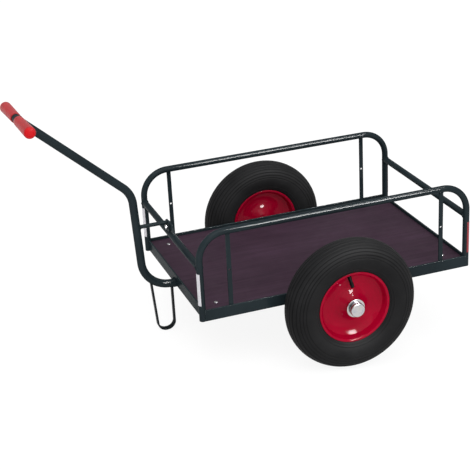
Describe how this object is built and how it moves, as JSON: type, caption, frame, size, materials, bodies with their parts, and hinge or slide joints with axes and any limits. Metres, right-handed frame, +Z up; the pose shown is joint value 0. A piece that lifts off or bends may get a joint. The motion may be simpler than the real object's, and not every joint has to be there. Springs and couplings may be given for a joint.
{
  "type": "two-wheeled hand cart",
  "caption": "Two-wheeled hand cart with a flat plywood bed, bent tube side hoops, pneumatic wheels on red rims, a bent drawbar with a T handle and a strip stand.",
  "frame": {"origin": "middle of the footprint on the floor, with the cart parked on its wheels and its stand", "axes": "+X forward to the handle, +Y to the cart's left, +Z up from the floor"},
  "size_m": [1.3484, 0.828, 0.7161],
  "materials": {
    "frame_paint": "gloss",
    "bed_ply": "satin",
    "axle_steel": "satin",
    "plating": "gloss",
    "tyre_rubber": "matte",
    "rim_paint": "gloss",
    "valve_rubber": "matte",
    "grip_plastic": "satin",
    "reflector_white": "gloss",
    "reflector_red": "gloss"
  },
  "bodies": {
    "cart": {"hoop_left": "frame_paint", "hoop_right": "frame_paint", "cross_tube_front": "frame_paint", "cross_tube_rear": "frame_paint", "upright_front_left": "frame_paint", "upright_front_right": "frame_paint", "upright_rear_left": "frame_paint", "upright_rear_right": "frame_paint", "side_rail_left": "frame_paint", "side_rail_right": "frame_paint", "end_rail_front": "frame_paint", "end_rail_rear": "frame_paint", "bed_member_front": "frame_paint", "bed_member_rear": "frame_paint", "axle_beam": "frame_paint", "axle_plate_left": "frame_paint", "axle_plate_right": "frame_paint", "drawbar": "frame_paint", "drawbar_socket": "frame_paint", "handle_bar": "frame_paint", "strut_lug": "frame_paint", "strut": "frame_paint", "stand": "frame_paint", "bed_board": "bed_ply", "axle": "axle_steel", "spacer_left": "axle_steel", "spacer_right": "axle_steel", "washer_left": "plating", "washer_right": "plating", "cap_left": "plating", "cap_right": "plating", "socket_bolt": "plating", "strut_bolt": "plating", "grip_left": "grip_plastic", "grip_right": "grip_plastic", "reflector_front_left": "reflector_white", "reflector_front_right": "reflector_white", "reflector_rear_left": "reflector_red", "reflector_rear_right": "reflector_red"},
    "wheel_left": {"tyre_left": "tyre_rubber", "rim_left": "rim_paint", "hub_left": "rim_paint", "valve_left": "valve_rubber"},
    "wheel_right": {"tyre_right": "tyre_rubber", "rim_right": "rim_paint", "hub_right": "rim_paint", "valve_right": "valve_rubber"}
  },
  "joints": [
    {"name": "wheel_left_spin", "type": "hinge", "parent": "cart", "child": "wheel_left", "pos_m": [-0.2437, 0.3545, 0.2], "axis": [0, 1, 0], "continuous": true},
    {"name": "wheel_right_spin", "type": "hinge", "parent": "cart", "child": "wheel_right", "pos_m": [-0.2437, -0.3545, 0.2], "axis": [0, 1, 0], "continuous": true}
  ]
}
